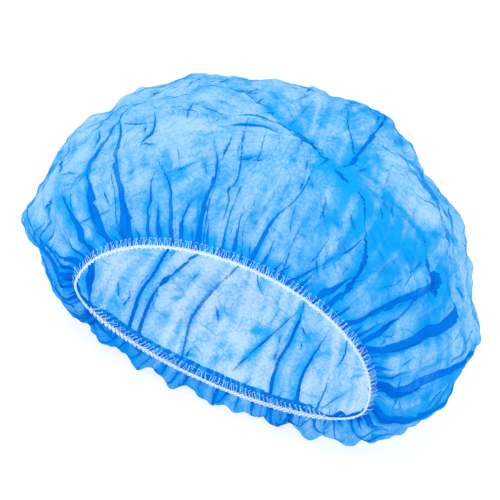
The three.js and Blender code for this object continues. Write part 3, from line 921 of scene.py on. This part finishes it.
def mix_colour(tree, share, low, high):
    """A colour between low and high, by a share that changes over the surface."""
    return add_node(tree, "ShaderNodeMix", {0: share, 6: low, 7: high}, data_type="RGBA").outputs[2]


def mix_shader(tree, share, first, second):
    return add_node(tree, "ShaderNodeMixShader", {0: share, 1: first.outputs[0], 2: second.outputs[0]})


def painted_crease_shade(tree, vector, scale, width, bend):
    """Painted crease shade: thin broken darker lines on the borders of crumpled facets, which partly
    stand for cloth doubled there, only where the noise lets them show.
    """
    shake = link_noise(tree, vector, scale * 0.8, 2, 0.5)["Color"]
    offset = link_vector(tree, "MULTIPLY_ADD", {0: shake, 1: (bend, bend, bend), 2: vector})
    place = {"Vector": offset, "Scale": scale}
    cells = add_node(tree, "ShaderNodeTexVoronoi", place, feature="DISTANCE_TO_EDGE")
    line = link_range(tree, cells.outputs["Distance"], 0, width, 1, 0)
    shown = link_range(tree, link_noise(tree, vector, scale * 0.9, 1, 0.5)["Fac"], 0.48, 0.62, 0, 1)
    return link_math(tree, "MULTIPLY", line, shown)


def facing(tree):
    """The cloth's smooth direction, kept near its true one in sharp folds."""
    form = add_node(tree, "ShaderNodeNewGeometry").outputs
    kept = link_vector(tree, "MULTIPLY_ADD", {0: form["True Normal"], 1: (2, 2, 2), 2: form["Normal"]})
    return link_vector(tree, "NORMALIZE", {0: kept})


def nonwoven_material():
    """Thin cloth, which is less clear and bluer where it is gathered or fibrous and where shade is
    painted into it, and clearer where light is painted into parts of the crown.
    """
    material, tree = new_material("blue_nonwoven")
    cut = add_node(tree, "ShaderNodeUVMap", uv_map="flat_cut").outputs["UV"]
    # How closely gathered the cloth is, with the painted shade and light made with the mesh.
    tight_and_shaded = add_node(tree, "ShaderNodeAttribute", attribute_name="tightness_and_shade").outputs["Fac"]
    fibres = link_noise(tree, cut, FIBRE_SCALE, 2, 0.7)["Fac"]
    fibres = link_range(tree, fibres, 0.25, 0.75, -FIBRE_AMOUNT, FIBRE_AMOUNT)
    dense_and_shaded = link_math(tree, "ADD", tight_and_shaded, fibres)
    # Painted crease shade: thin darker lines added to the cloth's darkness.
    for scale, width, bend, amount in CREASE_SHADE_LINES:
        dense_and_shaded = link_math(tree, "MULTIPLY_ADD", painted_crease_shade(tree, cut, scale, width, bend), amount, dense_and_shaded)
    dense_and_shaded = link_range(tree, dense_and_shaded, *TIGHT_AND_SHADE_RANGE, 0, 1)
    tint = mix_colour(tree, dense_and_shaded, CLEAR_TINT, DENSE_AND_SHADED_TINT)
    clear = add_node(tree, "ShaderNodeBsdfTransparent", {"Color": tint})
    faced = facing(tree)
    body = {"Base Color": CLOTH_BLUE, "Roughness": 0.7, "Specular IOR Level": 0.05, "Normal": faced}
    body = add_node(tree, "ShaderNodeBsdfPrincipled", body)
    through = add_node(tree, "ShaderNodeBsdfTranslucent", {"Color": LIT_THROUGH, "Normal": faced})
    density_and_shade = link_range(tree, dense_and_shaded, 0, 1, *DENSITY)
    add_surface(tree, mix_shader(tree, density_and_shade, clear, mix_shader(tree, 0.5, body, through)))
    return material


def twist_group():
    """The uneven colour of twisted fibres, which the threads and the elastic share."""
    tree = bpy.data.node_groups.new("twisted_fibres", "ShaderNodeTree")
    for label, way, kind in (
        ("Fineness", "INPUT", "Float"), ("Dark", "INPUT", "Color"), ("Light", "INPUT", "Color"),
        ("Colour", "OUTPUT", "Color"),
    ):
        tree.interface.new_socket(label, in_out=way, socket_type="NodeSocket" + kind)
    given = add_node(tree, "NodeGroupInput").outputs
    place = add_node(tree, "ShaderNodeTexCoord").outputs["Object"]
    twist = add_node(tree, "ShaderNodeTexNoise", {"Vector": place, "Scale": given["Fineness"]})
    colour = mix_colour(tree, twist.outputs["Fac"], given["Dark"], given["Light"])
    add_node(tree, "NodeGroupOutput", {"Colour": colour})
    return tree


def thread_material(name, twist, fineness, dark, light, roughness):
    material, tree = new_material(name)
    look = {"Fineness": fineness, "Dark": (*dark, 1), "Light": (*light, 1)}
    fibres = add_node(tree, "ShaderNodeGroup", look, node_tree=twist)
    body = {"Base Color": fibres.outputs["Colour"], "Roughness": roughness}
    add_surface(tree, add_node(tree, "ShaderNodeBsdfPrincipled", body))
    return material


def seam_line(cap, count):
    """Places along the elastic, with the ways that the stitches reach, off the cloth and along."""
    turn = np.arange(count) * 360 / count
    zero = np.zeros(count)
    ring = on_grid(cap[POINTS], turn, zero)
    off = on_grid(cap[NORMALS], turn, zero + 2 * MM / MERIDIAN)
    outward = on_grid(cap[POINTS], turn, zero + HEM_WIDTH / MERIDIAN) - ring
    up = (turned_hem(turn) > 0.5)[:, None]
    reach = np.where(up, inward(cap, turn) * HEM_UPTURN, outward)
    step = np.roll(ring, -1, axis=0) - np.roll(ring, 1, axis=0)
    front = unit(np.cross(step, reach))
    front = np.where((front[:, 1] > 0)[:, None], -front, front)
    away = np.where(up, front, off)
    reach = unit(reach)
    away = unit(away - reach * (away * reach).sum(1, keepdims=True))
    return ring, reach, away, unit(step)


def new_piece(name, mesh):
    piece = bpy.data.objects.new(name, mesh)
    bpy.context.scene.collection.objects.link(piece)
    return piece


def random_value(tree, given, limits, seed):
    """A random number for each stitch, between two limits."""
    index = add_node(tree, "GeometryNodeInputIndex").outputs[0]
    number = {"Seed": given["Seed"], "ID": link_math(tree, "ADD", index, seed)}
    node = add_node(tree, "FunctionNodeRandomValue", number, data_type="FLOAT")
    ends = [s for s in node.inputs if s.name in ("Min", "Max") and s.type == "VALUE"]
    for end, limit in zip(ends, limits):
        end.default_value = limit
    return [s for s in node.outputs if s.type == "VALUE"][0]


def scaled(tree, vector, by):
    return link_vector(tree, "SCALE", {"Vector": vector, "Scale": by})


def seam_way(tree, name):
    """One of the ways that the seam's path holds for each of its places."""
    way = {"Name": name}
    return add_node(tree, "GeometryNodeInputNamedAttribute", way, data_type="FLOAT_VECTOR").outputs[0]


def tube(tree, given, curve, sides):
    ring = {"Resolution": sides, "Radius": given["Thread radius"]}
    ring = add_node(tree, "GeometryNodeCurvePrimitiveCircle", ring, mode="RADIUS").outputs[0]
    body = {"Curve": curve, "Profile Curve": ring, "Fill Caps": True}
    body = add_node(tree, "GeometryNodeCurveToMesh", body).outputs[0]
    return add_node(tree, "GeometryNodeSetShadeSmooth", {"Geometry": body}).outputs[0]


def leg(tree, given, places, steps):
    """A bent thread over a start, a middle and an end."""
    points = {
        key: scaled(tree, place, given["Length"]) for key, place in zip(("Start", "Middle", "End"), places)
    }
    bent = add_node(tree, "GeometryNodeCurveQuadraticBezier", {"Resolution": steps, **points})
    return tube(tree, given, bent.outputs[0], steps)


def loop(tree, given, size_and_place, sides):
    """A closed loop of thread."""
    size, place = [scaled(tree, vector, given["Length"]) for vector in size_and_place]
    circle = {"Resolution": LOOP_STEPS, "Radius": 1.0}
    circle = add_node(tree, "GeometryNodeCurvePrimitiveCircle", circle, mode="RADIUS").outputs[0]
    bent = {"Geometry": circle, "Scale": size, "Translation": place}
    return tube(tree, given, add_node(tree, "GeometryNodeTransform", bent).outputs[0], sides)


def stitch_row(tree, given, thread, start, swing, sizes, seed, size_seed):
    """One stitch for each pitch of the path, turned by a random angle about the way off the cloth."""
    line = add_node(tree, "GeometryNodeMeshToCurve", {"Mesh": given["Path"]})
    points = {"Curve": line.outputs[0], "Count": given["Stitches"]}
    points = add_node(tree, "GeometryNodeResampleCurve", points, mode="COUNT").outputs[0]
    shift = scaled(tree, seam_way(tree, "along"), link_math(tree, "MULTIPLY", given["Pitch"], start))
    placed = add_node(tree, "GeometryNodeSetPosition", {"Geometry": points, "Offset": shift}).outputs[0]
    ways = {0: seam_way(tree, "reach"), 1: seam_way(tree, "away")}
    turned = add_node(tree, "FunctionNodeAxesToRotation", ways, primary_axis="X", secondary_axis="Z")
    spin = {"Axis": (0, 0, 1), "Angle": random_value(tree, given, swing, seed)}
    spin = add_node(tree, "FunctionNodeAxisAngleToRotation", spin)
    both = {"Rotation": turned.outputs[0], "Rotate By": spin.outputs[0]}
    both = add_node(tree, "FunctionNodeRotateRotation", both, rotation_space="LOCAL").outputs[0]
    size = random_value(tree, given, sizes, size_seed)
    stitches = {"Points": placed, "Instance": thread, "Rotation": both, "Scale": size}
    return add_node(tree, "GeometryNodeInstanceOnPoints", stitches).outputs[0]


def stitch_tree(name, rows, thread, size_seed):
    """A Geometry Nodes tree that sets rows of stitches along the seam's path."""
    tree = bpy.data.node_groups.new(name, "GeometryNodeTree")
    tree.interface.new_socket("Path", in_out="INPUT", socket_type="NodeSocketGeometry")
    keys = {}
    for label, kind in STITCH_INPUTS:
        socket = tree.interface.new_socket(label, in_out="INPUT", socket_type="NodeSocket" + kind)
        keys[label] = socket.identifier
    tree.interface.new_socket("Thread", in_out="OUTPUT", socket_type="NodeSocketGeometry")
    given = add_node(tree, "NodeGroupInput").outputs
    joined = add_node(tree, "GeometryNodeJoinGeometry")
    for start, form, swing, sizes, seed, fineness in rows:
        one = thread(tree, given, form, fineness)
        row = stitch_row(tree, given, one, start, swing, sizes, seed, seed + size_seed)
        tree.links.new(row, joined.inputs[0])
    real = add_node(tree, "GeometryNodeRealizeInstances", {"Geometry": joined.outputs[0]}).outputs[0]
    made = add_node(tree, "GeometryNodeSetMaterial", {"Geometry": real, "Material": given["Material"]})
    add_node(tree, "NodeGroupOutput", {0: made.outputs[0]})
    return tree, keys


def stitched(cap, name, rows, thread, size_seed, material):
    """Makes the stitches along the seam with a tree, as one plain mesh."""
    ring, reach, away, along = seam_line(cap, SEAM_PLACES)
    mesh = bpy.data.meshes.new(name + "_path")
    edges = [(i, (i + 1) % SEAM_PLACES) for i in range(SEAM_PLACES)]
    mesh.from_pydata([tuple(p) for p in ring], edges, [])
    for key, values in (("reach", reach), ("away", away), ("along", along)):
        held = mesh.attributes.new(key, "FLOAT_VECTOR", "POINT")
        held.data.foreach_set("vector", values.astype(np.float32).ravel())
    path = new_piece(name + "_path", mesh)
    modifier = path.modifiers.new(name, "NODES")
    tree, keys = stitch_tree(name, rows, thread, size_seed)
    modifier.node_group = tree
    round_length = float(np.linalg.norm(np.roll(ring, -1, axis=0) - ring, axis=1).sum())
    stitches = int(round(round_length / STITCH_PITCH))
    values = (stitches, round_length / stitches, HEM_WIDTH, THREAD_RADIUS, SEED, material)
    for (label, _), value in zip(STITCH_INPUTS, values):
        modifier[keys[label]] = value
    bpy.context.view_layer.update()
    seen = path.evaluated_get(bpy.context.evaluated_depsgraph_get())
    mesh = bpy.data.meshes.new_from_object(seen)
    mesh.name = name
    bpy.data.objects.remove(path)
    return new_piece(name, mesh)


def elastic_ring(cap, material):
    """The thin elastic under the edge threads."""
    ring, _, away, along = seam_line(cap, ELASTIC_PLACES)
    sides = (np.arange(ELASTIC_SIDES) * 2 * math.pi / ELASTIC_SIDES)[None, :, None]
    across = unit(np.cross(along, away))
    turned = across[:, None] * np.cos(sides) + away[:, None] * np.sin(sides)
    points = ring[:, None] + ELASTIC_RADIUS * turned
    faces = []
    for i in range(ELASTIC_PLACES):
        here, there = i * ELASTIC_SIDES, (i + 1) % ELASTIC_PLACES * ELASTIC_SIDES
        for j in range(ELASTIC_SIDES):
            k = (j + 1) % ELASTIC_SIDES
            faces.append((here + j, there + j, there + k, here + k))
    mesh = bpy.data.meshes.new("elastic_ring")
    mesh.from_pydata([tuple(p) for p in points.reshape(-1, 3)], [], faces)
    mesh.shade_smooth()
    mesh.materials.append(material)
    return new_piece("elastic_ring", mesh)


def floor_and_light():
    scene = bpy.context.scene
    scene.view_settings.view_transform = "Standard"
    scene.cycles.transparent_max_bounces = 32
    scene.cycles.max_bounces = 8
    bpy.ops.mesh.primitive_plane_add(size=6, location=(0, 0, 0))
    floor = bpy.context.object
    floor.name = "floor"
    material, tree = new_material("pale_floor")
    look = {
        "Base Color": FLOOR_GREY, "Roughness": 0.9,
        "Emission Color": WHITE, "Emission Strength": FLOOR_GLOW,
    }
    add_surface(tree, add_node(tree, "ShaderNodeBsdfPrincipled", look))
    floor.data.materials.append(material)
    world = bpy.data.worlds.new("studio")
    scene.world = world
    world.use_nodes = True
    sky = world.node_tree.nodes["Background"]
    sky.inputs["Color"].default_value = WHITE
    sky.inputs["Strength"].default_value = SKY_STRENGTH
    key = bpy.data.lights.new("soft_key", "AREA")
    key.energy = KEY_POWER
    key.size = KEY_SIZE
    lamp = new_piece("soft_key", key)
    lamp.location = KEY_PLACE
    lamp.rotation_euler = (KEY_TARGET - lamp.location).to_track_quat("-Z", "Y").to_euler()


def photo_camera():
    """The photo's view: from in front and above, turned about its own line of sight."""
    back = Vector((0, -math.cos(VIEW_ELEVATION), math.sin(VIEW_ELEVATION)))
    right, up = Vector((1, 0, 0)), Vector((0, math.sin(VIEW_ELEVATION), math.cos(VIEW_ELEVATION)))
    turned_right = math.cos(VIEW_ROLL) * right + math.sin(VIEW_ROLL) * up
    turned_up = math.cos(VIEW_ROLL) * up - math.sin(VIEW_ROLL) * right
    data = bpy.data.cameras.new("photo_view")
    data.lens = VIEW_LENS
    data.sensor_width = VIEW_SENSOR
    camera = new_piece("photo_view", data)
    placed = Matrix((turned_right, turned_up, back)).transposed().to_4x4()
    placed.translation = VIEW_TARGET + VIEW_DISTANCE * back
    camera.matrix_world = placed
    bpy.context.scene.camera = camera


photo_camera()
floor_and_light()
form, cloth, shares, strips = make_cloth()
cap = new_piece("crown_cloth", cloth_mesh(cloth, shares, strips))
cap.data.materials.append(nonwoven_material())
twist = twist_group()
white = thread_material("white_thread", twist, 900, (0.62, 0.82, 0.97), (0.95, 0.98, 1.0), 0.45)
pale = thread_material("pale_thread", twist, 900, (0.28, 0.66, 0.95), (0.72, 0.90, 0.98), 0.45)
rubber = thread_material("pale_elastic", twist, 500, (0.38, 0.68, 0.97), (0.70, 0.86, 0.99), 0.6)
legs = stitched(form, "seam_legs", LEGS, leg, LEG_SIZE_SEED, pale)
chain = stitched(form, "edge_thread", LOOPS, loop, LOOP_SIZE_SEED, white)
elastic = elastic_ring(form, rubber)
for piece, slot in ((cap, "nonwoven"), (legs, "thread"), (chain, "thread"), (elastic, "elastic")):
    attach(piece, "root")
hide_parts("crown")
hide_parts("elastic_band")
